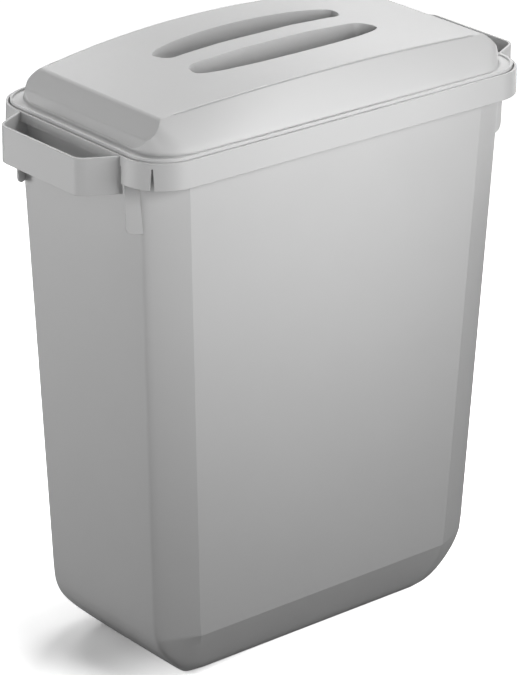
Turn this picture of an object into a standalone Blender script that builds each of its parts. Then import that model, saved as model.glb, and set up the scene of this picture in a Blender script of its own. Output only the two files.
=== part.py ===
"""A free-standing rectangular waste bin with a loose lid.

X runs along the bin, Y across it and Z up. The origin is the middle of the flat base.
The tub is one moulding: a loft of rounded rectangles that climbs the outside, turns over the rim
and goes down the inside to the floor, with the two carrying handles and the gussets joined to it
and the skirt cut away at the handles and slit at the corners. The lid is the other moulding, a
domed shell with two grip pockets, whose hem stands on the ledge inside the rim.
"""

import math

import bmesh
import bpy
from mathutils import Vector

# Overall sizes of the rim
RIM_HEIGHT = 0.610
RIM_LENGTH = 0.5084
RIM_WIDTH = 0.2766

# Tub wall: how far its top stands inside the rim and how far each side leans in towards the ground
END_SETBACK = 0.0138
SIDE_SETBACK = 0.0177
END_TAPER = 0.0273
SIDE_TAPER = 0.0134
WALL = 0.0032

# Tub corners: a flat that leaves the long side at a crease and rounds into the end
CORNER_ALONG = 0.0449
CORNER_ACROSS = 0.0250
CORNER_CREASE = 0.0185
CORNER_FULLNESS = 2.2

# Rounding between the walls and the base: a bend into a slope at the ends, a crease along the sides
END_ROUND_HEIGHT = 0.090
END_ROUND_BEND = 0.0490
END_ROUND_INSET = 0.0520
END_ROUND_FULLNESS = 2.4
SIDE_ROUND_HEIGHT = 0.064
SIDE_ROUND_CREASE = 0.0090
SIDE_ROUND_INSET = 0.0600
SIDE_ROUND_FULLNESS = 1.3
BASE_CORNER = 0.020

# Rim: upright lip, ledge that the lid stands on and skirt that hangs outside
RIM_CORNER = 0.0468
LIP_WIDTH = 0.0034
LIP_ROUND = 0.0010
LEDGE_DEPTH = 0.0070
LEDGE_THICKNESS = 0.0030
SKIRT_HEIGHT = 0.0285
SKIRT_THICKNESS = 0.0028
SKIRT_FLARE = 0.0007

# Skirt cut-outs: the open stretch at each handle and the slits at the corners
OPENING_CLEARANCE = 0.0023
OPENING_LIP = 0.0105
SLIT_HEIGHT = 0.0225
SLIT_FOOT = 0.0048
SLIT_TIP = 0.0014
SLIT_ANGLE = 40.0

# Handles
HANDLE_REACH = 0.0379
HANDLE_HEIGHT = 0.0392
HANDLE_DROP = 0.0005
HANDLE_THICKNESS = 0.0030
HANDLE_MARGIN = 0.0544
HANDLE_NARROWING = 0.0196
HANDLE_CORNER = 0.0170

# Gussets that close the skirt beside each handle and run on down the wall
GUSSET_GAP = 0.0033
GUSSET_THICKNESS = 0.0026
GUSSET_INSET = 0.0021
GUSSET_HEIGHT = 0.0813
GUSSET_ROUND = 0.0080

# Lid: hem and flange
LID_SIDE_GAP = 0.0014
SEAT_GAP = 0.0003
LID_WALL = 0.0025
HEM_HEIGHT = 0.0085
BEAD_WIDTH = 0.0036
BEAD_HEIGHT = 0.0012

# Lid: dome
DOME_END_SETBACK = 0.0163
DOME_SIDE_SETBACK = 0.0093
DOME_FOOT_CORNER = 0.0500
DOME_TOP_CORNER = 0.0110
DOME_HEIGHT = 0.0446
DOME_END_DROP = 0.0114
DOME_SIDE_INSET = 0.0163
DOME_WAIST = 0.0125
DOME_END_INSET = 0.0340
DOME_CROWN = 0.0030

# Grip pockets in the lid
POCKET_LENGTH = 0.241
POCKET_INNER = 0.0142
POCKET_OUTER = 0.0580
POCKET_TIP = 0.0340
POCKET_TIP_ROUND = 0.0150
POCKET_DEPTH = 0.0270
POCKET_SLOPE = 0.0100
POCKET_BRIDGE_SLOPE = 0.0040

# Overrun of every cutter past the face it opens
OVERRUN = 0.0040

# Shares of the height and of the insets at the ends and along the sides where the dome's rings lie
DOME_HEIGHT_SHARES = (0.0, 0.25, 0.46, 0.64, 0.78, 0.88, 0.955, 0.99, 1.0)
DOME_END_SHARES = (0.0, 0.03, 0.07, 0.13, 0.21, 0.32, 0.50, 0.73, 1.0)
DOME_SIDE_SHARES = (0.0, 0.17, 0.31, 0.48, 0.65, 0.79, 0.91, 0.975, 1.0)
DOME_TOP_SHARES = (0.86, 0.66, 0.44, 0.22)
POCKET_DEPTH_SHARES = (0.0, 0.05, 0.13, 0.70, 0.88, 0.97, 1.0)
POCKET_INSET_SHARES = (-0.16, -0.04, 0.04, 0.34, 0.52, 0.78, 1.25)

# Facets
CORNER_STEPS = 9
ROUND_STEPS = 12
LID_CORNER_STEPS = 7
LID_SIDE_STEPS = 14
LID_END_STEPS = 4
POCKET_STEPS = 9

# Values that follow from the sizes above
RIM_HALF = Vector((RIM_LENGTH / 2, RIM_WIDTH / 2))
WALL_TOP_HALF = RIM_HALF - Vector((END_SETBACK, SIDE_SETBACK))
WALL_TAPER = Vector((END_TAPER, SIDE_TAPER))
SKIRT_FOOT = RIM_HEIGHT - SKIRT_HEIGHT
LEDGE_TOP = RIM_HEIGHT - LEDGE_DEPTH
LEDGE_UNDERSIDE = LEDGE_TOP - LEDGE_THICKNESS
HANDLE_ROOT_HALF = RIM_WIDTH / 2 - HANDLE_MARGIN
HANDLE_FRONT_HALF = HANDLE_ROOT_HALF - HANDLE_NARROWING
HANDLE_SPLAY = HANDLE_NARROWING / HANDLE_REACH
SPLAY_STRETCH = math.sqrt(1 + HANDLE_SPLAY * HANDLE_SPLAY)
OPENING_HALF = HANDLE_ROOT_HALF + OPENING_CLEARANCE
DOME_FOOT_HALF = RIM_HALF - Vector((DOME_END_SETBACK, DOME_SIDE_SETBACK))
LIP_INNER = RIM_HALF - Vector((LIP_WIDTH, LIP_WIDTH))
LIP_INNER_CORNER = RIM_CORNER - LIP_WIDTH
SEAT_HEIGHT = LEDGE_TOP + SEAT_GAP


def clear_scene():
    """Remove whatever the scene holds."""
    for item in list(bpy.data.objects):
        bpy.data.objects.remove(item, do_unlink=True)


def plastic(name, colour, roughness):
    """A plain moulded plastic."""
    material = bpy.data.materials.new(name)
    material.use_nodes = True
    shader = material.node_tree.nodes["Principled BSDF"]
    shader.inputs["Base Color"].default_value = (*colour, 1.0)
    shader.inputs["Roughness"].default_value = roughness
    shader.inputs["Metallic"].default_value = 0.0
    return material


def add_object(name, mesh_data, material=None):
    """Close a bmesh into a named object."""
    bmesh.ops.recalc_face_normals(mesh_data, faces=mesh_data.faces)
    mesh = bpy.data.meshes.new(name)
    mesh_data.to_mesh(mesh)
    mesh_data.free()
    item = bpy.data.objects.new(name, mesh)
    bpy.context.scene.collection.objects.link(item)
    if material is not None:
        mesh.materials.append(material)
        mesh.shade_smooth()
        mesh.set_sharp_from_angle(angle=math.radians(30))
    return item


def boolean(target, tool, operation):
    """Join a tool to the target or cut it away, and hide the tool."""
    step = target.modifiers.new(tool.name, "BOOLEAN")
    step.object = tool
    step.operation = operation
    step.solver = "EXACT"
    tool.hide_render = True
    tool.display_type = "WIRE"


def rounded_rectangle(half, radius, corner_steps, side_steps=1, end_steps=1):
    """Plan points of a rounded rectangle, anticlockwise from the left front corner."""
    points = []
    corners = ((-1, -1, 180, side_steps), (1, -1, 270, end_steps),
               (1, 1, 0, side_steps), (-1, 1, 90, end_steps))
    for index, (sign_x, sign_y, start, steps) in enumerate(corners):
        centre = Vector((sign_x * (half[0] - radius), sign_y * (half[1] - radius)))
        for step in range(corner_steps + 1):
            angle = math.radians(start + 90 * step / corner_steps)
            points.append(centre + radius * Vector((math.cos(angle), math.sin(angle))))
        next_x, next_y = corners[(index + 1) % 4][:2]
        leave = points[-1]
        arrive_angle = math.radians(start + 90)
        next_centre = Vector((next_x * (half[0] - radius), next_y * (half[1] - radius)))
        arrive = next_centre + radius * Vector((math.cos(arrive_angle), math.sin(arrive_angle)))
        points.extend(leave.lerp(arrive, step / steps) for step in range(1, steps))
    return points


def loft(mesh_data, rings):
    """Skin a list of rings of equal length and cap both ends."""
    rows = [[mesh_data.verts.new(point) for point in ring] for ring in rings]
    count = len(rows[0])
    for lower, upper in zip(rows, rows[1:]):
        for index in range(count):
            following = (index + 1) % count
            mesh_data.faces.new((lower[index], lower[following], upper[following], upper[index]))
    mesh_data.faces.new(reversed(rows[0]))
    mesh_data.faces.new(rows[-1])


def prism(mesh_data, outline, travel):
    """Extrude a flat outline of 3-D points along a vector."""
    loft(mesh_data, [outline, [point + travel for point in outline]])


def fillet_corners(points, radius, steps):
    """Round the inner corners of an open line of plan points."""
    rounded = [points[0]]
    for before, corner, after in zip(points, points[1:], points[2:]):
        back = (before - corner).normalized()
        ahead = (after - corner).normalized()
        half_angle = back.angle(ahead) / 2
        reach = radius / math.tan(half_angle)
        centre = corner + (back + ahead).normalized() * (radius / math.sin(half_angle))
        start = corner + back * reach - centre
        end = corner + ahead * reach - centre
        sweep = start.angle_signed(end)
        for step in range(steps + 1):
            angle = -sweep * step / steps
            turned = Vector((start.x * math.cos(angle) - start.y * math.sin(angle),
                             start.x * math.sin(angle) + start.y * math.cos(angle)))
            rounded.append(centre + turned)
    rounded.append(points[-1])
    return rounded


def wall_half(height):
    """Half sizes of the tub's outer wall at a height, before the rounding at the base."""
    return WALL_TOP_HALF - WALL_TAPER * (1 - height / SKIRT_FOOT)


def wall_plan(half, along, across, crease):
    """Plan points of the wall, anticlockwise from the left front corner, with creased corner flats."""
    points = []
    for sign_x, sign_y in ((-1, -1), (1, -1), (1, 1), (-1, 1)):
        apex = Vector((sign_x * half.x, sign_y * half.y))
        aim = apex - Vector((0, sign_y * crease))
        arc_ends = [apex - Vector((0, sign_y * across)), apex - Vector((sign_x * along, 0))]
        if sign_x != sign_y:
            arc_ends.reverse()
        for step in range(CORNER_STEPS + 1):
            share = step / CORNER_STEPS
            first = (1 - share) ** 2
            middle = 2 * CORNER_FULLNESS * share * (1 - share)
            last = share ** 2
            point = arc_ends[0] * first + aim * middle + arc_ends[1] * last
            points.append(point / (first + middle + last))
    return points


def rounding(height, round_height, round_inset, bend, crease, fullness):
    """How far a conic rounding at the base draws the wall in: it starts towards the bend and the crease."""
    if height >= round_height:
        return 0.0
    if height <= 0.0:
        return round_inset
    lean = fullness * (bend - height)
    turn = (lean + math.sqrt(lean ** 2 + height * (round_height - height))) / height
    middle = 2 * fullness * turn
    last = turn ** 2
    return (middle * crease + last * round_inset) / (1 + middle + last)


def wall_ring(height, inner=False):
    """One ring of the tub's wall, outside or inside, with its rounding at the base."""
    skin = WALL if inner else 0.0
    above = height - skin
    end_inset = rounding(above, END_ROUND_HEIGHT - skin, END_ROUND_INSET - skin,
                         END_ROUND_BEND - skin, 0.0, END_ROUND_FULLNESS)
    side_inset = rounding(above, SIDE_ROUND_HEIGHT - skin, SIDE_ROUND_INSET - skin,
                          0.0, SIDE_ROUND_CREASE, SIDE_ROUND_FULLNESS)
    half = wall_half(height) - Vector((end_inset + skin, side_inset + skin))
    share = end_inset / END_ROUND_INSET
    along = (CORNER_ALONG - skin) * (1 - share) + BASE_CORNER * share
    across = (CORNER_ACROSS - skin) * (1 - share) + BASE_CORNER * share
    plan = wall_plan(half, along, across, CORNER_CREASE * (1 - share))
    return [point.to_3d() + Vector((0, 0, height)) for point in plan]


def rim_ring(inset, height):
    """One ring parallel to the rim's outline, drawn in by an inset."""
    half = RIM_HALF - Vector((inset, inset))
    return [point.to_3d() + Vector((0, 0, height))
            for point in rounded_rectangle(half, RIM_CORNER - inset, CORNER_STEPS)]


def round_heights(skin):
    """Heights of the rings that make the rounding at the base, from the base up."""
    climb = END_ROUND_HEIGHT - skin
    turns = [math.radians(90 * step / ROUND_STEPS) for step in range(ROUND_STEPS + 1)]
    heights = [skin + climb * (1 - math.cos(turn)) for turn in turns]
    return sorted(heights + [SIDE_ROUND_HEIGHT])


def tub_shell():
    """Walls, base and rim of the tub as one closed skin."""
    outside = [wall_ring(height) for height in round_heights(0.0)]
    outside.append(wall_ring(SKIRT_FOOT))
    outside.append(wall_ring(LEDGE_UNDERSIDE))
    rim = [
        rim_ring(SKIRT_THICKNESS + SKIRT_FLARE, LEDGE_UNDERSIDE),
        rim_ring(SKIRT_THICKNESS, SKIRT_FOOT),
        rim_ring(0.0, SKIRT_FOOT),
        rim_ring(SKIRT_FLARE, RIM_HEIGHT - LIP_ROUND),
        rim_ring(SKIRT_FLARE + LIP_ROUND / 2, RIM_HEIGHT),
        rim_ring(LIP_WIDTH - LIP_ROUND / 2, RIM_HEIGHT),
        rim_ring(LIP_WIDTH, RIM_HEIGHT - LIP_ROUND),
        rim_ring(LIP_WIDTH, LEDGE_TOP),
    ]
    inside = [wall_ring(LEDGE_TOP, inner=True)]
    inside.extend(wall_ring(height, inner=True) for height in reversed(round_heights(WALL)))
    mesh_data = bmesh.new()
    loft(mesh_data, outside + rim + inside)
    return mesh_data


def skirt_openings():
    """Boxes that take the skirt away inside each handle."""
    mesh_data = bmesh.new()
    inner = RIM_HALF.x - LIP_WIDTH - OVERRUN
    outer = RIM_HALF.x + OVERRUN
    height = SKIRT_HEIGHT - OPENING_LIP + OVERRUN
    for side in (-1, 1):
        corners = ((inner, -OPENING_HALF), (outer, -OPENING_HALF),
                   (outer, OPENING_HALF), (inner, OPENING_HALF))
        outline = [Vector((side * x, y, SKIRT_FOOT - OVERRUN)) for x, y in corners]
        prism(mesh_data, outline, Vector((0, 0, height)))
    return add_object("skirt_opening_cutter", mesh_data)


def corner_slits():
    """Wedges that slit the skirt at its four corners, wide at the foot."""
    mesh_data = bmesh.new()
    centre = RIM_HALF - Vector((RIM_CORNER, RIM_CORNER))
    angle = math.radians(SLIT_ANGLE)
    outward = Vector((math.cos(angle), math.sin(angle), 0))
    along = Vector((-math.sin(angle), math.cos(angle), 0))
    widen = SLIT_FOOT / 2 + (SLIT_FOOT - SLIT_TIP) / 2 * OVERRUN / SLIT_HEIGHT
    rise = SLIT_HEIGHT + OVERRUN
    profile = ((-widen, 0.0), (widen, 0.0), (SLIT_TIP / 2, rise), (-SLIT_TIP / 2, rise))
    start = centre.to_3d() + outward * (RIM_CORNER - SKIRT_THICKNESS - OVERRUN)
    start.z = SKIRT_FOOT - OVERRUN
    travel = outward * (SKIRT_THICKNESS + 2 * OVERRUN)
    for sign_x, sign_y in ((-1, -1), (1, -1), (1, 1), (-1, 1)):
        flip = Vector((sign_x, sign_y, 1))
        outline = [(start + along * x + Vector((0, 0, z))) * flip for x, z in profile]
        prism(mesh_data, outline, travel * flip)
    return add_object("corner_slit_cutter", mesh_data)


def handle_outline():
    """Plan outline of one handle band, drawn at +X, from the tub's wall out and back."""
    root = (wall_half(SKIRT_FOOT).x + wall_half(LEDGE_UNDERSIDE).x) / 2 - WALL / 2
    face = RIM_HALF.x + HANDLE_REACH

    def side_line(x, skin):
        return HANDLE_FRONT_HALF + HANDLE_SPLAY * (face - x) - skin

    def band_line(front, skin, radius):
        corner = side_line(front, skin)
        end = side_line(root, skin)
        line = [Vector((root, -end)), Vector((front, -corner)), Vector((front, corner)), Vector((root, end))]
        return fillet_corners(line, radius, CORNER_STEPS)

    outer = band_line(face, 0.0, HANDLE_CORNER)
    inner_corner = HANDLE_CORNER - HANDLE_THICKNESS
    inner = band_line(face - HANDLE_THICKNESS, HANDLE_THICKNESS * SPLAY_STRETCH, inner_corner)
    return outer + list(reversed(inner))


def handles():
    """Both handle bands, kept out of the lid's seat."""
    mesh_data = bmesh.new()
    foot = RIM_HEIGHT - HANDLE_DROP - HANDLE_HEIGHT
    for side in (-1, 1):
        outline = [Vector((side * point.x, point.y, foot)) for point in handle_outline()]
        prism(mesh_data, outline, Vector((0, 0, HANDLE_HEIGHT)))
    bands = add_object("handle_bands", mesh_data)
    boolean(bands, lid_seat(), "DIFFERENCE")
    return bands


def lid_seat():
    """The space above the ledge and inside the lip, from the middle of each wall."""
    mesh_data = bmesh.new()
    outline = rim_ring(LIP_WIDTH / 2, LEDGE_TOP - LEDGE_THICKNESS / 2)
    prism(mesh_data, outline, Vector((0, 0, LEDGE_DEPTH + OVERRUN)))
    return add_object("lid_seat_cutter", mesh_data)


def gussets():
    """Four upright webs beside the handles, parallel to the handles' side walls."""
    mesh_data = bmesh.new()
    foot = RIM_HEIGHT - GUSSET_HEIGHT
    top = LEDGE_TOP - LEDGE_THICKNESS / 2
    upper_edge = RIM_HALF.x - SKIRT_THICKNESS / 4
    lower_edge = Vector((RIM_HALF.x - GUSSET_INSET, foot))
    start = Vector((wall_half(foot).x - WALL * 3 / 4, foot))
    skirt_corner = Vector((upper_edge, SKIRT_FOOT))
    profile = fillet_corners([start, lower_edge, skirt_corner], GUSSET_ROUND, CORNER_STEPS)
    profile += [Vector((upper_edge, top)), Vector((wall_half(top).x - WALL * 3 / 4, top))]
    near = HANDLE_ROOT_HALF + GUSSET_GAP
    for sign_x in (-1, 1):
        for sign_y in (-1, 1):
            outline = []
            for x, z in profile:
                y = near + HANDLE_SPLAY * (RIM_HALF.x - x)
                outline.append(Vector((sign_x * x, sign_y * y, z)))
            prism(mesh_data, outline, Vector((0, sign_y * GUSSET_THICKNESS * SPLAY_STRETCH, 0)))
    return add_object("gusset_webs", mesh_data)


def make_tub():
    """The tub with its handles, gussets and skirt cut-outs."""
    material = plastic("tub_plastic", (0.56, 0.565, 0.57), 0.42)
    tub = add_object("tub", tub_shell(), material)
    boolean(tub, skirt_openings(), "DIFFERENCE")
    boolean(tub, gussets(), "UNION")
    boolean(tub, corner_slits(), "DIFFERENCE")
    boolean(tub, handles(), "UNION")
    return tub


def dome_sag(x):
    """Share of the dome's fall from its middle to its ends, at a place along X."""
    return (x / (DOME_FOOT_HALF.x - DOME_END_INSET)) ** 2


def dome_height(x):
    """Height of the dome's edge above its foot at a place along X."""
    return DOME_HEIGHT - DOME_END_DROP * dome_sag(x)


def lid_plan(half, radius):
    """Plan points of a lid ring."""
    return rounded_rectangle(half, radius, LID_CORNER_STEPS, LID_SIDE_STEPS, LID_END_STEPS)


def level_ring(half, radius, height):
    """A flat lid ring."""
    return [point.to_3d() + Vector((0, 0, height)) for point in lid_plan(half, radius)]


def dome_ring(height_share, end_share, side_share, skin):
    """A ring up the dome's flank, drawn in at the ends and waisted towards them."""
    half = DOME_FOOT_HALF - Vector((DOME_END_INSET * end_share + skin, DOME_SIDE_INSET * side_share + skin))
    radius = DOME_FOOT_CORNER + (DOME_TOP_CORNER - DOME_FOOT_CORNER) * height_share - skin
    ring = []
    for point in lid_plan(half, radius):
        sag = dome_sag(point.x)
        y = point.y * (1 - height_share * DOME_WAIST * sag / half.y)
        ring.append(Vector((point.x, y, HEM_HEIGHT + dome_height(point.x) * height_share - skin)))
    return ring


def dome_top_ring(edge, share, skin):
    """A ring on the dome's crowned top, the edge ring drawn towards the middle."""
    edge_y = max(point.y for point in edge)
    ring = []
    for point in edge:
        x, y = point.x * share, point.y * share
        crown = DOME_CROWN * (1 - (y / edge_y) ** 2) * (1 - share * share)
        ring.append(Vector((x, y, HEM_HEIGHT + dome_height(x) + crown - skin)))
    return ring


def dome_rings(skin):
    """The dome from its foot to the middle of its top."""
    shares = zip(DOME_HEIGHT_SHARES, DOME_END_SHARES, DOME_SIDE_SHARES)
    rings = [dome_ring(height, end, side, skin) for height, end, side in shares]
    rings.extend(dome_top_ring(rings[-1], share, skin) for share in DOME_TOP_SHARES)
    return rings


def lid_outside():
    """Solid with the lid's outer form."""
    half = LIP_INNER - Vector((LID_SIDE_GAP, LID_SIDE_GAP))
    radius = LIP_INNER_CORNER - LID_SIDE_GAP

    def hem_ring(inset, height):
        return level_ring(half - Vector((inset, inset)), radius - inset, height)

    rings = [
        hem_ring(0.0, 0.0),
        hem_ring(0.0, HEM_HEIGHT),
        hem_ring(BEAD_WIDTH / 4, HEM_HEIGHT + BEAD_HEIGHT),
        hem_ring(BEAD_WIDTH * 3 / 4, HEM_HEIGHT + BEAD_HEIGHT),
        hem_ring(BEAD_WIDTH, HEM_HEIGHT),
    ]
    mesh_data = bmesh.new()
    loft(mesh_data, rings + dome_rings(0.0))
    return mesh_data


def lid_hollow():
    """Solid that fills the lid's underside, less the outsides of the two pockets."""
    half = LIP_INNER - Vector((LID_SIDE_GAP + LID_WALL, LID_SIDE_GAP + LID_WALL))
    radius = LIP_INNER_CORNER - LID_SIDE_GAP - LID_WALL
    rings = [
        level_ring(half, radius, -OVERRUN),
        level_ring(half, radius, HEM_HEIGHT - LID_WALL),
    ]
    mesh_data = bmesh.new()
    loft(mesh_data, rings + dome_rings(LID_WALL))
    hollow = add_object("lid_hollow_cutter", mesh_data)
    boolean(hollow, pockets("pocket_shells", LID_WALL), "DIFFERENCE")
    return hollow


def pocket_outline(half_length, inner, outer, tip, tip_round):
    """Plan of one pocket at +Y: straight beside the grip, bowed on its outer side, round at the tips."""
    points = []
    for step in range(POCKET_STEPS + 1):
        angle = math.radians(-90 + 90 * step / POCKET_STEPS)
        across = tip + (tip - inner) * math.sin(angle)
        points.append((half_length - tip_round * (1 - math.cos(angle)), across))
    for step in range(1, 2 * POCKET_STEPS):
        angle = math.radians(180 * step / (2 * POCKET_STEPS))
        points.append((half_length * math.cos(angle), tip + (outer - tip) * math.sin(angle)))
    for step in range(POCKET_STEPS + 1):
        angle = math.radians(180 + 90 * step / POCKET_STEPS)
        across = tip + (tip - inner) * math.sin(angle)
        points.append((-half_length + tip_round * (1 + math.cos(angle)), across))
    for step in range(1, POCKET_STEPS):
        share = step / POCKET_STEPS
        points.append(((half_length - tip_round) * (2 * share - 1), inner))
    return points


def pockets(name, skin):
    """The two grip pockets, larger all round by a skin."""
    floor = HEM_HEIGHT + DOME_HEIGHT - POCKET_DEPTH - skin
    clear = HEM_HEIGHT + DOME_HEIGHT + DOME_CROWN + OVERRUN
    mesh_data = bmesh.new()
    for side in (-1, 1):
        rings = []
        for depth_share, inset_share in zip(POCKET_DEPTH_SHARES, POCKET_INSET_SHARES):
            inset = POCKET_SLOPE * inset_share - skin
            bridge_inset = POCKET_BRIDGE_SLOPE * inset_share - skin
            outline = pocket_outline(POCKET_LENGTH / 2 - inset, POCKET_INNER + bridge_inset,
                                     POCKET_OUTER - inset, POCKET_TIP, POCKET_TIP_ROUND)
            ring = []
            for x, y in outline:
                top = HEM_HEIGHT + dome_height(x) + DOME_CROWN
                ring.append(Vector((x, side * y, top + (floor - top) * depth_share)))
            rings.append(ring)
        level = [Vector((point.x, point.y, clear)) for point in rings[0]]
        loft(mesh_data, [level] + rings)
    return add_object(name, mesh_data)


def make_lid():
    """The lid, whose own origin is on the line along which it lifts."""
    material = plastic("lid_plastic", (0.60, 0.605, 0.61), 0.40)
    lid = add_object("lid", lid_outside(), material)
    boolean(lid, lid_hollow(), "DIFFERENCE")
    boolean(lid, pockets("pocket_cutter", 0.0), "DIFFERENCE")
    lid.location = (0, 0, SEAT_HEIGHT)
    for step in lid.modifiers:
        step.object.location = lid.location
        for inner_step in step.object.modifiers:
            inner_step.object.location = lid.location
    return lid


def main():
    clear_scene()
    make_tub()
    make_lid()


main()
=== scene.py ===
"""Looks of the rectangular waste bin: smooth mouldings with rounded edges, satin plastic, studio light.

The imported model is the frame. The tub and the lid are lofted again here from the main sizes of the
CAD solids, with finer steps and rounded edges, and they ride on the same bodies. A few small forms
are only here: the slopes at the dome's ends, the groove beside its top, the channel inside the
narrower bead, the fuller tub corners and the flat lean of the rounding along the base.
"""

import math

import bmesh
import bpy
from mathutils import Matrix, Vector


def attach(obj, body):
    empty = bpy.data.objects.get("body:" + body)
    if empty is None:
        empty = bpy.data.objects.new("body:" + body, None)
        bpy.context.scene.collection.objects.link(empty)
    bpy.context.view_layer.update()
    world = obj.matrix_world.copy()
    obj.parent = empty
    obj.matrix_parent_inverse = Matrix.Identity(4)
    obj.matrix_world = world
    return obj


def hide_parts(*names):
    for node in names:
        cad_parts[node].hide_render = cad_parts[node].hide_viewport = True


# Overall sizes of the rim
RIM_HEIGHT = 0.610
RIM_LENGTH = 0.5084
RIM_WIDTH = 0.2766

# Tub wall: how far its top stands inside the rim and how far each side leans in towards the ground
END_SETBACK = 0.0138
SIDE_SETBACK = 0.0177
END_TAPER = 0.0273
SIDE_TAPER = 0.0134
WALL = 0.0032

# Tub corners: a flat that leaves the long side at a crease and rounds into the end
CORNER_ALONG = 0.0449
CORNER_ACROSS = 0.0250
CORNER_CREASE = 0.0185
CORNER_FULLNESS = 3.4

# Rounding between the walls and the base: a bend into a slope at the ends, a crease along the sides
END_ROUND_HEIGHT = 0.090
END_ROUND_BEND = 0.0490
END_ROUND_INSET = 0.0520
END_ROUND_FULLNESS = 2.4
SIDE_ROUND_HEIGHT = 0.064
SIDE_ROUND_CREASE = 0.0090
SIDE_ROUND_INSET = 0.0600
SIDE_ROUND_FULLNESS = 1.3
SIDE_ROUND_LEAN = 0.35
SIDE_ROUND_SOFTNESS = 0.0030
BASE_CORNER = 0.020

# Rim: upright lip, ledge that the lid stands on and skirt that hangs outside
RIM_CORNER = 0.0468
LIP_WIDTH = 0.0034
LEDGE_DEPTH = 0.0070
LEDGE_THICKNESS = 0.0030
SKIRT_HEIGHT = 0.0285
SKIRT_THICKNESS = 0.0028
SKIRT_FLARE = 0.0007

# Skirt cut-outs: the open stretch at each handle and the slits at the corners
OPENING_CLEARANCE = 0.0023
OPENING_LIP = 0.0105
SLIT_HEIGHT = 0.0225
SLIT_FOOT = 0.0048
SLIT_TIP = 0.0014
SLIT_ANGLE = 40.0

# Handles
HANDLE_REACH = 0.0379
HANDLE_HEIGHT = 0.0392
HANDLE_DROP = 0.0005
HANDLE_THICKNESS = 0.0030
HANDLE_MARGIN = 0.0544
HANDLE_NARROWING = 0.0196
HANDLE_CORNER = 0.0170

# Gussets that close the skirt beside each handle and run on down the wall
GUSSET_GAP = 0.0033
GUSSET_THICKNESS = 0.0026
GUSSET_INSET = 0.0021
GUSSET_HEIGHT = 0.0813
GUSSET_ROUND = 0.0080

# Lid: hem and flange
LID_SIDE_GAP = 0.0014
SEAT_GAP = 0.0003
LID_WALL = 0.0025
HEM_HEIGHT = 0.0085
BEAD_WIDTH = 0.0032
BEAD_HEIGHT = 0.0012
BEAD_ROUND = 0.00045
CHANNEL_DEPTH = 0.0010

# Lid: dome
DOME_END_SETBACK = 0.0163
DOME_SIDE_SETBACK = 0.0093
DOME_FOOT_CORNER = 0.0500
DOME_TOP_CORNER = 0.0110
DOME_HEIGHT = 0.0446
DOME_END_DROP = 0.0114
DOME_SIDE_INSET = 0.0163
DOME_WAIST = 0.0125
DOME_END_INSET = 0.0240
DOME_SAG_HALF = 0.2039
DOME_CROWN = 0.0030

# Groove between the dome's long sides and its top: its depth, how far the sides end below the top,
# and the places along X where it begins to fade and has gone
CREASE_DROP = 0.0022
CREASE_STEP = 0.0009
CREASE_FULL = 0.190
CREASE_NONE = 0.208

# Slope at each end of the dome: points given as how far in from the dome's foot and how high above
# it, the rounding between them, and the step across the slope for each unit of skin
END_SLOPE_START = Vector((-0.020, 0.0030))
END_SLOPE_LINE = (Vector((0.0003, 0.0030)), Vector((0.0045, 0.0130)),
                  Vector((0.0230, 0.0322)), Vector((0.0600, 0.0372)))
END_SLOPE_ROUND = 0.0110
END_SLOPE_SKIN = Vector((0.8, -0.6))

# Grip pockets in the lid
POCKET_LENGTH = 0.241
POCKET_INNER = 0.0142
POCKET_OUTER = 0.0580
POCKET_TIP = 0.0340
POCKET_TIP_ROUND = 0.0150
POCKET_DEPTH = 0.0270
POCKET_SLOPE = 0.0100
POCKET_BRIDGE_SLOPE = 0.0040

# Overrun of every cutter past the face it opens, radius of the moulded edges, and the distance
# below which points that a cut leaves side by side become one
OVERRUN = 0.0040
EDGE_ROUND = 0.0005
WELD_DISTANCE = 0.00001

# Shares of the height and of the insets at the ends and along the sides where the dome's rings lie,
# then shares of the way from the middle to the edge for the rings on its top, and of the groove there
DOME_HEIGHT_SHARES = (0.0, 0.02, 0.06, 0.12, 0.25, 0.46, 0.64, 0.78, 0.88, 0.955, 0.99, 1.0)
DOME_END_SHARES = (-0.11, -0.055, -0.015, 0.0, 0.01, 0.03, 0.06, 0.12, 0.22, 0.40, 0.66, 1.0)
DOME_SIDE_SHARES = (0.0, 0.014, 0.042, 0.085, 0.18, 0.38, 0.575, 0.74, 0.855, 0.945, 0.988, 1.0)
DOME_TOP_SHARES = (0.996, 0.986, 0.981, 0.86, 0.66, 0.44, 0.22)
CREASE_SHARES = (1.0, 1.0, 0.0, 0.0, 0.0, 0.0, 0.0)

# Shares of the pockets' depth where their rings lie, and of how far their slopes draw in there
POCKET_DEPTH_SHARES = (0.0, 0.05, 0.13, 0.70, 0.88, 0.97, 1.0)
POCKET_INSET_SHARES = (-0.16, -0.04, 0.04, 0.34, 0.52, 0.78, 1.25)

# Facets, and the angle in degrees above which an edge is shaded sharp
CORNER_STEPS = 20
ROUND_STEPS = 24
EDGE_STEPS = 7
LID_CORNER_STEPS = 14
LID_SIDE_STEPS = 28
LID_END_STEPS = 12
POCKET_STEPS = 20
SHARP_ANGLE = 14.0

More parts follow.
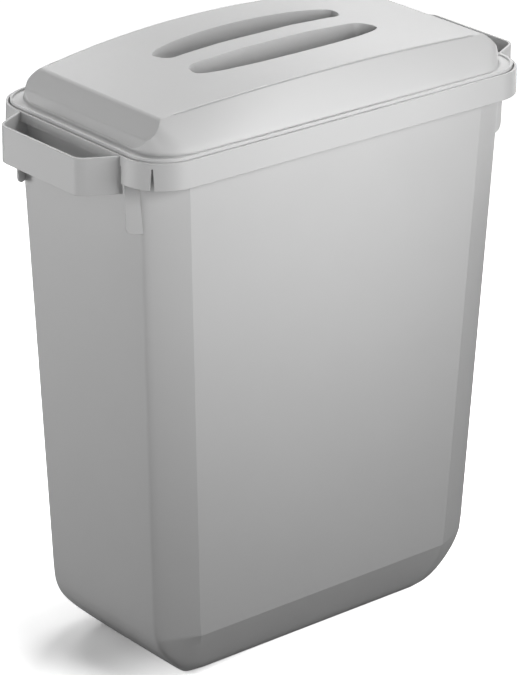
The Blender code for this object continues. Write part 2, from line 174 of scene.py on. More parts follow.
# Values that follow from the sizes above
RIM_HALF = Vector((RIM_LENGTH / 2, RIM_WIDTH / 2))
WALL_TOP_HALF = RIM_HALF - Vector((END_SETBACK, SIDE_SETBACK))
WALL_TAPER = Vector((END_TAPER, SIDE_TAPER))
SKIRT_FOOT = RIM_HEIGHT - SKIRT_HEIGHT
LEDGE_TOP = RIM_HEIGHT - LEDGE_DEPTH
LEDGE_UNDERSIDE = LEDGE_TOP - LEDGE_THICKNESS
HANDLE_ROOT_HALF = RIM_WIDTH / 2 - HANDLE_MARGIN
HANDLE_FRONT_HALF = HANDLE_ROOT_HALF - HANDLE_NARROWING
HANDLE_SPLAY = HANDLE_NARROWING / HANDLE_REACH
SPLAY_STRETCH = math.sqrt(1 + HANDLE_SPLAY * HANDLE_SPLAY)
OPENING_HALF = HANDLE_ROOT_HALF + OPENING_CLEARANCE
DOME_FOOT_HALF = RIM_HALF - Vector((DOME_END_SETBACK, DOME_SIDE_SETBACK))
LIP_INNER = RIM_HALF - Vector((LIP_WIDTH, LIP_WIDTH))
LIP_INNER_CORNER = RIM_CORNER - LIP_WIDTH
SEAT_HEIGHT = LEDGE_TOP + SEAT_GAP

# Camera: angles in degrees at which it looks at the bin's middle axis, its distance, the height it
# aims at, how far it is set off from there, and its sensor and lens in millimetres
CAMERA_AZIMUTH = -39.759
CAMERA_ELEVATION = 23.189
CAMERA_ROLL = 0.515
CAMERA_DISTANCE = 3.7040
CAMERA_AIM_HEIGHT = 0.3050
CAMERA_OFFSET_RIGHT = -0.00448
CAMERA_OFFSET_UP = 0.01536
CAMERA_SENSOR = 36.0
CAMERA_LENS = 241.22
CAMERA_REACH = 100.0

# Plastic: its two greys, how far the tint strays from them, and the range of its roughness
TUB_GREY = 0.565
LID_GREY = 0.582
TINT_SPREAD = 0.025
ROUGHNESS_LOW = 0.38
ROUGHNESS_HIGH = 0.50

# Plastic: scale and detail of the noise behind the tint, the gloss, the flow waves and the grain
TINT_NOISE = (9.0, 3.0)
GLOSS_NOISE = (160.0, 4.0)
WAVE_NOISE = (22.0, 1.0)
GRAIN_NOISE = (2600.0, 2.0)

# Plastic: softened edges, and strength and height of the flow waves and the grain
SOFT_EDGE_SAMPLES = 4
SOFT_EDGE_RADIUS = 0.0006
WAVE_STRENGTH = 0.25
WAVE_HEIGHT = 0.0006
GRAIN_STRENGTH = 0.22
GRAIN_HEIGHT = 0.00008

# Floor and backdrop: what the camera sees of them, what they give back to the object, and the round
# place below the bin's left back corner where the floor's painted glow fades out. The dark there is the
# real shadow, and the round edge of the dark is painted shade.
FLOOR_HALF = 12.0
FLOOR_LEVEL = -0.0003
FLOOR_SHOWN = 1.3
FLOOR_BOUNCE = 0.30
PAINTED_SHADE_MIDDLE = (-0.19, 0.08, 0.0)
PAINTED_SHADE_INNER = 0.05
PAINTED_SHADE_OUTER = 0.24
SKY_SHOWN = 1.0
SKY_LIGHT = 0.0

# Soft boxes: name, place, point they face, side length, power in watts. The powers began as a fit to the
# photograph's shades and were then changed.
SOFT_BOXES = (
    ("front_box", (0.04, -0.70, 0.70), (0.02, 0.0, 0.35), 0.45, 4.7),
    ("left_back_box", (-1.05, 0.35, 0.55), (0.0, 0.05, 0.40), 0.40, 4.10),
    ("left_front_box", (-0.90, -0.45, 0.75), (0.0, 0.05, 0.40), 0.40, 0.51),
    ("left_box", (-0.80, 0.10, 0.80), (0.0, 0.05, 0.40), 0.40, 0.51),
    ("left_corner_box", (-0.52, -0.34, 0.70), (-0.25, -0.10, 0.58), 0.15, 0.17),
    ("right_end_box", (1.10, 0.15, 0.35), (0.0, 0.05, 0.35), 0.45, 1.6),
    ("top_box", (0.50, 0.30, 1.60), (0.0, 0.0, 0.5), 0.70, 10.3),
    ("back_box", (0.20, 1.20, 1.30), (0.0, 0.0, 0.5), 0.70, 5.84),
    ("right_box", (1.00, 0.60, 1.20), (0.0, 0.0, 0.5), 0.70, 3.2),
)


def add_object(name, mesh_data):
    """Turn a bmesh into a named object with its faces looking outward."""
    bmesh.ops.recalc_face_normals(mesh_data, faces=mesh_data.faces)
    mesh = bpy.data.meshes.new(name)
    mesh_data.to_mesh(mesh)
    mesh_data.free()
    item = bpy.data.objects.new(name, mesh)
    bpy.context.scene.collection.objects.link(item)
    return item


def boolean(target, tool, operation):
    """Join a tool to the target or cut it away, at once, and drop the tool."""
    step = target.modifiers.new(tool.name, "BOOLEAN")
    step.object = tool
    step.operation = operation
    step.solver = "EXACT"
    depsgraph = bpy.context.evaluated_depsgraph_get()
    result = bpy.data.meshes.new_from_object(target.evaluated_get(depsgraph))
    target.modifiers.clear()
    target.data = result
    bpy.data.objects.remove(tool, do_unlink=True)


def rounded_rectangle(half, radius, corner_steps, side_steps=1, end_steps=1):
    """Plan points of a rounded rectangle, anticlockwise from the left front corner."""
    points = []
    corners = ((-1, -1, 180, side_steps), (1, -1, 270, end_steps),
               (1, 1, 0, side_steps), (-1, 1, 90, end_steps))
    for index, (sign_x, sign_y, start, steps) in enumerate(corners):
        centre = Vector((sign_x * (half[0] - radius), sign_y * (half[1] - radius)))
        for step in range(corner_steps + 1):
            angle = math.radians(start + 90 * step / corner_steps)
            points.append(centre + radius * Vector((math.cos(angle), math.sin(angle))))
        next_x, next_y = corners[(index + 1) % 4][:2]
        leave = points[-1]
        arrive_angle = math.radians(start + 90)
        next_centre = Vector((next_x * (half[0] - radius), next_y * (half[1] - radius)))
        arrive = next_centre + radius * Vector((math.cos(arrive_angle), math.sin(arrive_angle)))
        points.extend(leave.lerp(arrive, step / steps) for step in range(1, steps))
    return points


def loft(mesh_data, rings):
    """Skin a list of rings of equal length and cap both ends."""
    rows = [[mesh_data.verts.new(point) for point in ring] for ring in rings]
    count = len(rows[0])
    for lower, upper in zip(rows, rows[1:]):
        for index in range(count):
            following = (index + 1) % count
            mesh_data.faces.new((lower[index], lower[following], upper[following], upper[index]))
    mesh_data.faces.new(reversed(rows[0]))
    mesh_data.faces.new(rows[-1])


def prism(mesh_data, outline, travel):
    """Extrude a flat outline of 3-D points along a vector."""
    loft(mesh_data, [outline, [point + travel for point in outline]])


def fillet_corners(points, radius, steps):
    """Round the inner corners of an open line of plan points."""
    rounded = [points[0]]
    for before, corner, after in zip(points, points[1:], points[2:]):
        back = (before - corner).normalized()
        ahead = (after - corner).normalized()
        half_angle = back.angle(ahead) / 2
        reach = radius / math.tan(half_angle)
        centre = corner + (back + ahead).normalized() * (radius / math.sin(half_angle))
        start = corner + back * reach - centre
        end = corner + ahead * reach - centre
        sweep = start.angle_signed(end)
        for step in range(steps + 1):
            angle = -sweep * step / steps
            turned = Vector((start.x * math.cos(angle) - start.y * math.sin(angle),
                             start.x * math.sin(angle) + start.y * math.cos(angle)))
            rounded.append(centre + turned)
    rounded.append(points[-1])
    return rounded


def wall_half(height):
    """Half sizes of the tub's outer wall at a height, before the rounding at the base."""
    return WALL_TOP_HALF - WALL_TAPER * (1 - height / SKIRT_FOOT)


def wall_plan(half, along, across, crease):
    """Plan points of the wall, anticlockwise from the left front corner, with creased corner flats."""
    points = []
    for sign_x, sign_y in ((-1, -1), (1, -1), (1, 1), (-1, 1)):
        apex = Vector((sign_x * half.x, sign_y * half.y))
        aim = apex - Vector((0, sign_y * crease))
        arc_ends = [apex - Vector((0, sign_y * across)), apex - Vector((sign_x * along, 0))]
        if sign_x != sign_y:
            arc_ends.reverse()
        for step in range(CORNER_STEPS + 1):
            share = step / CORNER_STEPS
            first = (1 - share) ** 2
            middle = 2 * CORNER_FULLNESS * share * (1 - share)
            last = share ** 2
            point = arc_ends[0] * first + aim * middle + arc_ends[1] * last
            points.append(point / (first + middle + last))
    return points


def rounding(height, round_height, round_inset, bend, crease, fullness):
    """How far a conic rounding at the base draws the wall in.

    The conic leaves the wall towards the bend and the crease and ends at the base.
    """
    if height >= round_height:
        return 0.0
    if height <= 0.0:
        return round_inset
    lean = fullness * (bend - height)
    turn = (lean + math.sqrt(lean ** 2 + height * (round_height - height))) / height
    middle = 2 * fullness * turn
    last = turn ** 2
    return (middle * crease + last * round_inset) / (1 + middle + last)


def leaning(height, round_height, inset):
    """How much further in a flat lean draws the rounding along the sides, blended into the rest."""
    if height >= round_height:
        return 0.0
    flat = (round_height - height) * SIDE_ROUND_LEAN
    blend = SIDE_ROUND_SOFTNESS * (1 - height / round_height)
    return (flat - inset + math.sqrt((flat - inset) ** 2 + blend ** 2)) / 2


def wall_ring(height, inner=False):
    """One ring of the tub's wall, outside or inside, with its rounding at the base."""
    skin = WALL if inner else 0.0
    above = height - skin
    end_inset = rounding(above, END_ROUND_HEIGHT - skin, END_ROUND_INSET - skin,
                         END_ROUND_BEND - skin, 0.0, END_ROUND_FULLNESS)
    side_inset = rounding(above, SIDE_ROUND_HEIGHT - skin, SIDE_ROUND_INSET - skin,
                          0.0, SIDE_ROUND_CREASE, SIDE_ROUND_FULLNESS)
    lean = leaning(above, SIDE_ROUND_HEIGHT - skin, side_inset)
    half = wall_half(height) - Vector((end_inset + skin, side_inset + skin))
    share = end_inset / END_ROUND_INSET
    along = (CORNER_ALONG - skin) * (1 - share) + BASE_CORNER * share
    across = (CORNER_ACROSS - skin) * (1 - share) + BASE_CORNER * share
    ring = []
    for point in wall_plan(half, along, across, CORNER_CREASE * (1 - share)):
        fade = min((half.x - abs(point.x)) / along, 1.0) ** 2
        ring.append(Vector((point.x, point.y - math.copysign(lean * fade, point.y), height)))
    return ring


def rim_ring(inset, height):
    """One ring parallel to the rim's outline, drawn in by an inset."""
    half = RIM_HALF - Vector((inset, inset))
    return [point.to_3d() + Vector((0, 0, height))
            for point in rounded_rectangle(half, RIM_CORNER - inset, CORNER_STEPS)]


def round_heights(skin):
    """Heights of the rings that make the rounding at the base, from the base up."""
    climb = END_ROUND_HEIGHT - skin
    turns = [math.radians(90 * step / ROUND_STEPS) for step in range(ROUND_STEPS + 1)]
    heights = [skin + climb * (1 - math.cos(turn)) for turn in turns]
    return sorted(heights + [SIDE_ROUND_HEIGHT])


def tub_shell():
    """Walls, base and rim of the tub as one closed skin."""
    outside = [wall_ring(height) for height in round_heights(0.0)]
    outside.append(wall_ring(SKIRT_FOOT))
    outside.append(wall_ring(LEDGE_UNDERSIDE))
    section = [
        Vector((SKIRT_THICKNESS + SKIRT_FLARE, LEDGE_UNDERSIDE)),
        Vector((SKIRT_THICKNESS, SKIRT_FOOT)),
        Vector((0.0, SKIRT_FOOT)),
        Vector((SKIRT_FLARE, RIM_HEIGHT)),
        Vector((LIP_WIDTH, RIM_HEIGHT)),
        Vector((LIP_WIDTH, LEDGE_TOP)),
    ]
    rim = [rim_ring(point.x, point.y) for point in fillet_corners(section, EDGE_ROUND, EDGE_STEPS)]
    inside = [wall_ring(LEDGE_TOP, inner=True)]
    inside.extend(wall_ring(height, inner=True) for height in reversed(round_heights(WALL)))
    mesh_data = bmesh.new()
    loft(mesh_data, outside + rim + inside)
    return mesh_data


def skirt_openings():
    """Boxes that take the skirt away inside each handle."""
    mesh_data = bmesh.new()
    inner = RIM_HALF.x - LIP_WIDTH - OVERRUN
    outer = RIM_HALF.x + OVERRUN
    height = SKIRT_HEIGHT - OPENING_LIP + OVERRUN
    for side in (-1, 1):
        corners = ((inner, -OPENING_HALF), (outer, -OPENING_HALF),
                   (outer, OPENING_HALF), (inner, OPENING_HALF))
        outline = [Vector((side * x, y, SKIRT_FOOT - OVERRUN)) for x, y in corners]
        prism(mesh_data, outline, Vector((0, 0, height)))
    return add_object("skirt_opening_cutter", mesh_data)


def corner_slits():
    """Wedges that slit the skirt at its four corners, wide at the foot."""
    mesh_data = bmesh.new()
    centre = RIM_HALF - Vector((RIM_CORNER, RIM_CORNER))
    angle = math.radians(SLIT_ANGLE)
    outward = Vector((math.cos(angle), math.sin(angle), 0))
    along = Vector((-math.sin(angle), math.cos(angle), 0))
    widen = SLIT_FOOT / 2 + (SLIT_FOOT - SLIT_TIP) / 2 * OVERRUN / SLIT_HEIGHT
    rise = SLIT_HEIGHT + OVERRUN
    profile = ((-widen, 0.0), (widen, 0.0), (SLIT_TIP / 2, rise), (-SLIT_TIP / 2, rise))
    start = centre.to_3d() + outward * (RIM_CORNER - SKIRT_THICKNESS - OVERRUN)
    start.z = SKIRT_FOOT - OVERRUN
    travel = outward * (SKIRT_THICKNESS + 2 * OVERRUN)
    for sign_x, sign_y in ((-1, -1), (1, -1), (1, 1), (-1, 1)):
        flip = Vector((sign_x, sign_y, 1))
        outline = [(start + along * x + Vector((0, 0, z))) * flip for x, z in profile]
        prism(mesh_data, outline, travel * flip)
    return add_object("corner_slit_cutter", mesh_data)


def handle_outline(skin):
    """Plan outline of one handle band, drawn at +X, thinner by a skin on both faces."""
    root = (wall_half(SKIRT_FOOT).x + wall_half(LEDGE_UNDERSIDE).x) / 2 - WALL / 2
    face = RIM_HALF.x + HANDLE_REACH

    def band_line(depth, radius):
        front = face - depth
        corner = HANDLE_FRONT_HALF + HANDLE_SPLAY * depth - depth * SPLAY_STRETCH
        end = HANDLE_FRONT_HALF + HANDLE_SPLAY * (face - root) - depth * SPLAY_STRETCH
        line = [Vector((root, -end)), Vector((front, -corner)),
                Vector((front, corner)), Vector((root, end))]
        return fillet_corners(line, radius, CORNER_STEPS)

    outer = band_line(skin, HANDLE_CORNER - skin)
    depth = HANDLE_THICKNESS - skin
    inner = band_line(depth, HANDLE_CORNER - depth)
    return outer + list(reversed(inner))


def handles():
    """Both handle bands with rounded upper and lower edges, kept out of the lid's seat."""
    mesh_data = bmesh.new()
    foot = RIM_HEIGHT - HANDLE_DROP - HANDLE_HEIGHT
    turns = [math.radians(90 * step / EDGE_STEPS) for step in range(EDGE_STEPS + 1)]
    edge = [(EDGE_ROUND * (1 - math.sin(turn)), EDGE_ROUND * (1 - math.cos(turn))) for turn in turns]
    levels = edge + [(skin, HANDLE_HEIGHT - rise) for skin, rise in reversed(edge)]
    for side in (-1, 1):
        loft(mesh_data, [[Vector((side * point.x, point.y, foot + rise))
                          for point in handle_outline(skin)] for skin, rise in levels])
    bands = add_object("handle_bands", mesh_data)
    boolean(bands, lid_seat(), "DIFFERENCE")
    return bands


def lid_seat():
    """The space above the ledge and inside the lip, from the middle of each wall."""
    mesh_data = bmesh.new()
    outline = rim_ring(LIP_WIDTH / 2, LEDGE_TOP - LEDGE_THICKNESS / 2)
    prism(mesh_data, outline, Vector((0, 0, LEDGE_DEPTH + OVERRUN)))
    return add_object("lid_seat_cutter", mesh_data)


def gussets():
    """Four upright webs beside the handles, parallel to the handles' side walls."""
    mesh_data = bmesh.new()
    foot = RIM_HEIGHT - GUSSET_HEIGHT
    top = LEDGE_TOP - LEDGE_THICKNESS / 2
    upper_edge = RIM_HALF.x - SKIRT_THICKNESS / 4
    lower_edge = Vector((RIM_HALF.x - GUSSET_INSET, foot))
    start = Vector((wall_half(foot).x - WALL * 3 / 4, foot))
    skirt_corner = Vector((upper_edge, SKIRT_FOOT))
    profile = fillet_corners([start, lower_edge, skirt_corner], GUSSET_ROUND, CORNER_STEPS)
    profile += [Vector((upper_edge, top)), Vector((wall_half(top).x - WALL * 3 / 4, top))]
    near = HANDLE_ROOT_HALF + GUSSET_GAP
    for sign_x in (-1, 1):
        for sign_y in (-1, 1):
            outline = []
            for x, z in profile:
                y = near + HANDLE_SPLAY * (RIM_HALF.x - x)
                outline.append(Vector((sign_x * x, sign_y * y, z)))
            prism(mesh_data, outline, Vector((0, sign_y * GUSSET_THICKNESS * SPLAY_STRETCH, 0)))
    return add_object("gusset_webs", mesh_data)


def dome_sag(x):
    """Share of the dome's fall from its middle to its ends, at a place along X."""
    return (x / DOME_SAG_HALF) ** 2


def dome_height(x):
    """Height of the dome's edge above its foot at a place along X."""
    return DOME_HEIGHT - DOME_END_DROP * dome_sag(x)


def lid_plan(half, radius):
    """Plan points of a lid ring."""
    return rounded_rectangle(half, radius, LID_CORNER_STEPS, LID_SIDE_STEPS, LID_END_STEPS)


def level_ring(half, radius, height):
    """A flat lid ring."""
    return [point.to_3d() + Vector((0, 0, height)) for point in lid_plan(half, radius)]


def crease_fade(x):
    """Share of the groove's depth beside the dome's top at a place along X."""
    return min(max((CREASE_NONE - abs(x)) / (CREASE_NONE - CREASE_FULL), 0.0), 1.0)


def dome_ring(height_share, end_share, side_share, skin):
    """A ring up the dome's flank, drawn in at the ends and waisted towards them."""
    inset = Vector((DOME_END_INSET * end_share + skin, DOME_SIDE_INSET * side_share + skin))
    half = DOME_FOOT_HALF - inset
    radius = DOME_FOOT_CORNER + (DOME_TOP_CORNER - DOME_FOOT_CORNER) * height_share - skin
    ring = []
    for point in lid_plan(half, radius):
        sag = dome_sag(point.x)
        y = point.y * (1 - height_share * DOME_WAIST * sag / half.y)
        rise = (dome_height(point.x) - CREASE_STEP * crease_fade(point.x)) * height_share
        ring.append(Vector((point.x, y, HEM_HEIGHT + rise - skin)))
    return ring


def dome_top_ring(edge, share, crease_share, skin):
    """A ring on the dome's crowned top, the edge ring drawn towards the middle."""
    edge_y = max(point.y for point in edge)
    ring = []
    for point in edge:
        x, y = point.x * share, point.y * share
        crown = DOME_CROWN * (1 - (y / edge_y) ** 2) * (1 - share * share)
        groove = CREASE_DROP * crease_fade(point.x) * crease_share
        ring.append(Vector((x, y, HEM_HEIGHT + dome_height(x) + crown - groove - skin)))
    return ring


def dome_rings(skin):
    """The dome from its foot to the middle of its top."""
    shares = zip(DOME_HEIGHT_SHARES, DOME_END_SHARES, DOME_SIDE_SHARES)
    rings = [dome_ring(height, end, side, skin) for height, end, side in shares]
    edge = rings[-1]
    for share, crease_share in zip(DOME_TOP_SHARES, CREASE_SHARES):
        rings.append(dome_top_ring(edge, share, crease_share, skin))
    return rings


def end_slopes(name, skin):
    """Wedges that plane the ends of the dome down to a slope, set in by a skin."""
    line = [END_SLOPE_START] + fillet_corners(END_SLOPE_LINE, END_SLOPE_ROUND, EDGE_STEPS)
    line = [point + END_SLOPE_SKIN * skin for point in line]
    clear = DOME_HEIGHT + DOME_CROWN + OVERRUN
    line += [Vector((line[-1].x, clear)), Vector((line[0].x, clear))]
    mesh_data = bmesh.new()
    for side in (-1, 1):
        outline = []
        for point in line:
            x = side * (DOME_FOOT_HALF.x - point.x)
            outline.append(Vector((x, -RIM_HALF.y, HEM_HEIGHT + point.y)))
        prism(mesh_data, outline, Vector((0, RIM_WIDTH, 0)))
    return add_object(name, mesh_data)


def lid_outside():
    """The lid's outer form as an object: hem, bead, flange and the dome with its end slopes."""
    half = LIP_INNER - Vector((LID_SIDE_GAP, LID_SIDE_GAP))
    radius = LIP_INNER_CORNER - LID_SIDE_GAP

    def hem_ring(inset, height):
        return level_ring(half - Vector((inset, inset)), radius - inset, height)

    section = [
        Vector((0.0, 0.0)),
        Vector((0.0, HEM_HEIGHT + BEAD_HEIGHT)),
        Vector((BEAD_WIDTH, HEM_HEIGHT + BEAD_HEIGHT)),
        Vector((BEAD_WIDTH, HEM_HEIGHT - CHANNEL_DEPTH)),
    ]
    hem = [hem_ring(point.x, point.y) for point in fillet_corners(section, BEAD_ROUND, EDGE_STEPS)]
    mesh_data = bmesh.new()
    loft(mesh_data, hem + dome_rings(0.0))
    outside = add_object("lid_moulding", mesh_data)
    boolean(outside, end_slopes("end_slope_cutter", 0.0), "DIFFERENCE")
    return outside


def lid_hollow():
    """Solid that fills the lid's underside, less the outsides of the two pockets."""
    half = LIP_INNER - Vector((LID_SIDE_GAP + LID_WALL, LID_SIDE_GAP + LID_WALL))
    radius = LIP_INNER_CORNER - LID_SIDE_GAP - LID_WALL
    rings = [
        level_ring(half, radius, -OVERRUN),
        level_ring(half, radius, HEM_HEIGHT - LID_WALL),
    ]
    mesh_data = bmesh.new()
    loft(mesh_data, rings + dome_rings(LID_WALL))
    hollow = add_object("lid_hollow_cutter", mesh_data)
    boolean(hollow, end_slopes("hollow_slope_cutter", LID_WALL), "DIFFERENCE")
    boolean(hollow, pockets("pocket_shells", LID_WALL), "DIFFERENCE")
    return hollow


def pocket_outline(half_length, inner, outer, tip, tip_round):
    """Plan of one pocket at +Y: straight beside the grip, bowed on its outer side, round at the tips."""
    points = []
    for step in range(POCKET_STEPS + 1):
        angle = math.radians(-90 + 90 * step / POCKET_STEPS)
        across = tip + (tip - inner) * math.sin(angle)
        points.append((half_length - tip_round * (1 - math.cos(angle)), across))
    for step in range(1, 2 * POCKET_STEPS):
        angle = math.radians(180 * step / (2 * POCKET_STEPS))
        points.append((half_length * math.cos(angle), tip + (outer - tip) * math.sin(angle)))
    for step in range(POCKET_STEPS + 1):
        angle = math.radians(180 + 90 * step / POCKET_STEPS)
        across = tip + (tip - inner) * math.sin(angle)
        points.append((-half_length + tip_round * (1 + math.cos(angle)), across))
    for step in range(1, POCKET_STEPS):
        share = step / POCKET_STEPS
        points.append(((half_length - tip_round) * (2 * share - 1), inner))
    return points


def pockets(name, skin):
    """The two grip pockets, larger all round by a skin."""
    floor = HEM_HEIGHT + DOME_HEIGHT - POCKET_DEPTH - skin
    clear = HEM_HEIGHT + DOME_HEIGHT + DOME_CROWN + OVERRUN
    mesh_data = bmesh.new()
    for side in (-1, 1):
        rings = []
        for depth_share, inset_share in zip(POCKET_DEPTH_SHARES, POCKET_INSET_SHARES):
            inset = POCKET_SLOPE * inset_share - skin
            bridge_inset = POCKET_BRIDGE_SLOPE * inset_share - skin
            outline = pocket_outline(POCKET_LENGTH / 2 - inset, POCKET_INNER + bridge_inset,
                                     POCKET_OUTER - inset, POCKET_TIP, POCKET_TIP_ROUND)
            ring = []
            for x, y in outline:
                top = HEM_HEIGHT + dome_height(x) + DOME_CROWN
                ring.append(Vector((x, side * y, top + (floor - top) * depth_share)))
            rings.append(ring)
        level = [Vector((point.x, point.y, clear)) for point in rings[0]]
        loft(mesh_data, [level] + rings)
    return add_object(name, mesh_data)


def weld(mesh):
    """Merge the points that a cut left closer together than any edge of the moulding."""
    mesh_data = bmesh.new()
    mesh_data.from_mesh(mesh)
    bmesh.ops.remove_doubles(mesh_data, verts=mesh_data.verts, dist=WELD_DISTANCE)
    bmesh.ops.dissolve_degenerate(mesh_data, dist=WELD_DISTANCE, edges=mesh_data.edges)
    mesh_data.to_mesh(mesh)
    mesh_data.free()


def dress(item, node, body, material, lift):
    """Weld a moulding, place it, smooth it between its sharp edges and put it on its body."""
    mesh = item.data
    weld(mesh)
    mesh.transform(Matrix.Translation((0, 0, lift)))
    mesh.materials.clear()
    mesh.materials.append(material)
    mesh.shade_smooth()
    mesh.set_sharp_from_angle(angle=math.radians(SHARP_ANGLE))
    weigh = item.modifiers.new("even_normals", "WEIGHTED_NORMAL")
    weigh.keep_sharp = True
    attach(item, body)
    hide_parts(node)


def grey_colour(level):
    """An opaque grey as a node takes it."""
    return (level, level, level, 1.0)


def satin_plastic(name, grey):
    """Injection-moulded plastic: an even colour, a fine satin grain and faint flow waves."""
    material = bpy.data.materials.new(name)
    material.use_nodes = True
    nodes = material.node_tree.nodes
    links = material.node_tree.links
    shader = nodes["Principled BSDF"]
    place = nodes.new("ShaderNodeTexCoord")

    def noise(scale_and_detail):
        texture = nodes.new("ShaderNodeTexNoise")
        for socket, value in zip(("Scale", "Detail"), scale_and_detail):
            texture.inputs[socket].default_value = value
        links.new(place.outputs["Object"], texture.inputs["Vector"])
        return texture.outputs["Fac"]

    tint = nodes.new("ShaderNodeMix")
    tint.data_type = "RGBA"
    tint.inputs["A"].default_value = grey_colour(grey * (1 - TINT_SPREAD))
    tint.inputs["B"].default_value = grey_colour(grey * (1 + TINT_SPREAD))
    links.new(noise(TINT_NOISE), tint.inputs["Factor"])
    links.new(tint.outputs["Result"], shader.inputs["Base Color"])

    gloss = nodes.new("ShaderNodeMapRange")
    gloss.inputs["To Min"].default_value = ROUGHNESS_LOW
    gloss.inputs["To Max"].default_value = ROUGHNESS_HIGH
    links.new(noise(GLOSS_NOISE), gloss.inputs["Value"])
    links.new(gloss.outputs["Result"], shader.inputs["Roughness"])

    edges = nodes.new("ShaderNodeBevel")
    edges.samples = SOFT_EDGE_SAMPLES
    edges.inputs["Radius"].default_value = SOFT_EDGE_RADIUS
    waves = nodes.new("ShaderNodeBump")
    waves.inputs["Strength"].default_value = WAVE_STRENGTH
    waves.inputs["Distance"].default_value = WAVE_HEIGHT
    links.new(noise(WAVE_NOISE), waves.inputs["Height"])
    links.new(edges.outputs["Normal"], waves.inputs["Normal"])
    grain = nodes.new("ShaderNodeBump")
    grain.inputs["Strength"].default_value = GRAIN_STRENGTH
    grain.inputs["Distance"].default_value = GRAIN_HEIGHT
    links.new(noise(GRAIN_NOISE), grain.inputs["Height"])
    links.new(waves.outputs["Normal"], grain.inputs["Normal"])
    links.new(grain.outputs["Normal"], shader.inputs["Normal"])
    return material


def shown_and_bounced(nodes, links, shown, bounced):
    """Mix of two shaders: what the picture shows, and what lights the object."""
    path = nodes.new("ShaderNodeLightPath")
    mix = nodes.new("ShaderNodeMixShader")
    links.new(path.outputs["Is Camera Ray"], mix.inputs["Fac"])
    links.new(bounced, mix.inputs[1])
    links.new(shown, mix.inputs[2])
    return mix.outputs["Shader"]


def pale_floor():
    """A square floor: grey to the light; to the camera a white matte plus a painted glow that hides its
    shading, fading out in a round place below the bin so that the shadow and a painted round shade show
    there.
    """
    corners = ((-1, -1), (1, -1), (1, 1), (-1, 1))
    mesh = bpy.data.meshes.new("floor")
    points = [(x * FLOOR_HALF, y * FLOOR_HALF, FLOOR_LEVEL) for x, y in corners]
    mesh.from_pydata(points, [], [(0, 1, 2, 3)])
    floor = bpy.data.objects.new("floor", mesh)
    bpy.context.scene.collection.objects.link(floor)
    material = bpy.data.materials.new("white_floor")
    material.use_nodes = True
    nodes = material.node_tree.nodes
    links = material.node_tree.links
    nodes.clear()
    matte = nodes.new("ShaderNodeBsdfDiffuse")
    matte.inputs["Color"].default_value = grey_colour(FLOOR_SHOWN)
    geometry = nodes.new("ShaderNodeNewGeometry")
    # Painted glow and painted shade: the floor shines white to the camera everywhere, its glow fading to
    # nothing in a round place near the bin, so shade shows only there
    distance = nodes.new("ShaderNodeVectorMath")
    distance.operation = "DISTANCE"
    distance.inputs[1].default_value = PAINTED_SHADE_MIDDLE
    links.new(geometry.outputs["Position"], distance.inputs[0])
    fade = nodes.new("ShaderNodeMapRange")
    fade.interpolation_type = "SMOOTHSTEP"
    fade.inputs["From Min"].default_value = PAINTED_SHADE_INNER
    fade.inputs["From Max"].default_value = PAINTED_SHADE_OUTER
    links.new(distance.outputs["Value"], fade.inputs["Value"])
    painted_glow = nodes.new("ShaderNodeEmission")
    links.new(fade.outputs["Result"], painted_glow.inputs["Strength"])
    shown = nodes.new("ShaderNodeAddShader")
    links.new(matte.outputs["BSDF"], shown.inputs[0])
    links.new(painted_glow.outputs["Emission"], shown.inputs[1])
    bounced = nodes.new("ShaderNodeBsdfDiffuse")
    bounced.inputs["Color"].default_value = grey_colour(FLOOR_BOUNCE)
    output = nodes.new("ShaderNodeOutputMaterial")
    mixed = shown_and_bounced(nodes, links, shown.outputs["Shader"], bounced.outputs["BSDF"])
    links.new(mixed, output.inputs["Surface"])
    mesh.materials.append(material)


def studio():
    """A backdrop that the camera sees white and that gives no light, and the soft boxes."""
    scene = bpy.context.scene
    scene.view_settings.view_transform = "Standard"
    world = bpy.data.worlds.new("studio")
    scene.world = world
    world.use_nodes = True
    nodes = world.node_tree.nodes
    links = world.node_tree.links
    nodes.clear()
    shown = nodes.new("ShaderNodeBackground")
    shown.inputs["Color"].default_value = grey_colour(SKY_SHOWN)
    light = nodes.new("ShaderNodeBackground")
    light.inputs["Strength"].default_value = SKY_LIGHT
    output = nodes.new("ShaderNodeOutputWorld")
    mixed = shown_and_bounced(nodes, links, shown.outputs["Background"], light.outputs["Background"])
    links.new(mixed, output.inputs["Surface"])
    for name, place, aim, side, power in SOFT_BOXES:
        data = bpy.data.lights.new(name, "AREA")
        data.shape = "SQUARE"
        data.size = side
        data.energy = power
        lamp = bpy.data.objects.new(name, data)
        scene.collection.objects.link(lamp)
        lamp.location = place
        lamp.rotation_euler = (Vector(aim) - Vector(place)).to_track_quat("-Z", "Y").to_euler()


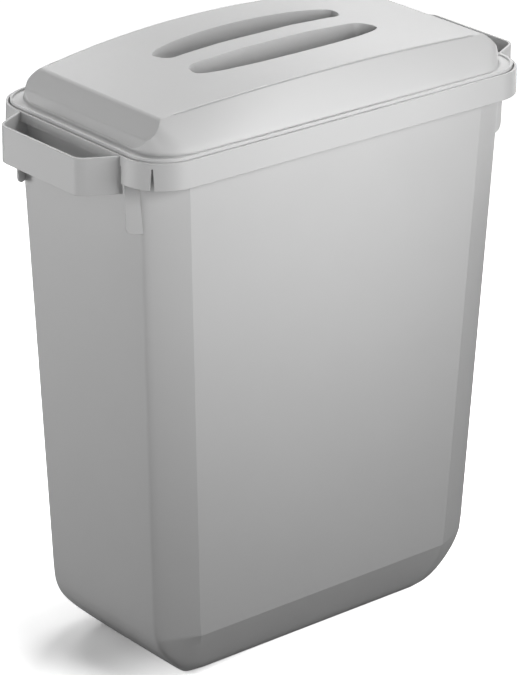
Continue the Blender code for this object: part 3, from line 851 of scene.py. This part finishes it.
def add_camera():
    """The camera at the photograph's view."""
    azimuth = math.radians(CAMERA_AZIMUTH)
    elevation = math.radians(CAMERA_ELEVATION)
    roll = math.radians(CAMERA_ROLL)
    back = Vector((math.sin(azimuth) * math.cos(elevation), -math.cos(azimuth) * math.cos(elevation),
                   math.sin(elevation)))
    level = Vector((math.cos(azimuth), math.sin(azimuth), 0))
    upright = back.cross(level)
    right = level * math.cos(roll) + upright * math.sin(roll)
    up = upright * math.cos(roll) - level * math.sin(roll)
    data = bpy.data.cameras.new("camera")
    data.sensor_fit = "HORIZONTAL"
    data.sensor_width = CAMERA_SENSOR
    data.lens = CAMERA_LENS
    data.clip_end = CAMERA_REACH
    camera = bpy.data.objects.new("camera", data)
    bpy.context.scene.collection.objects.link(camera)
    pose = Matrix((right, up, back)).transposed().to_4x4()
    pose.translation = (Vector((0, 0, CAMERA_AIM_HEIGHT)) + back * CAMERA_DISTANCE
                        + right * CAMERA_OFFSET_RIGHT + up * CAMERA_OFFSET_UP)
    camera.matrix_world = pose
    bpy.context.scene.camera = camera


def make_tub(material):
    """The tub with its handles, gussets and skirt cut-outs."""
    tub = add_object("tub_moulding", tub_shell())
    boolean(tub, skirt_openings(), "DIFFERENCE")
    boolean(tub, gussets(), "UNION")
    boolean(tub, corner_slits(), "DIFFERENCE")
    boolean(tub, handles(), "UNION")
    dress(tub, "tub", "tub_body", material, 0.0)


def make_lid(material):
    """The lid on its seat."""
    lid = lid_outside()
    boolean(lid, lid_hollow(), "DIFFERENCE")
    boolean(lid, pockets("pocket_cutter", 0.0), "DIFFERENCE")
    dress(lid, "lid", "lid_body", material, SEAT_HEIGHT)


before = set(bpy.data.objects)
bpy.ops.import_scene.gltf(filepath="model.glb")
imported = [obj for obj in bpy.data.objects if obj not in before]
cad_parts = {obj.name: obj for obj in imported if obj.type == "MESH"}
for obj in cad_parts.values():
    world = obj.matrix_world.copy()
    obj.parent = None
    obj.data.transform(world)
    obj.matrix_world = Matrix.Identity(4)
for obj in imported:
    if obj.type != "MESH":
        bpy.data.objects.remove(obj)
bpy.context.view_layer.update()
make_tub(satin_plastic("tub_satin", TUB_GREY))
make_lid(satin_plastic("lid_satin", LID_GREY))
pale_floor()
studio()
add_camera()
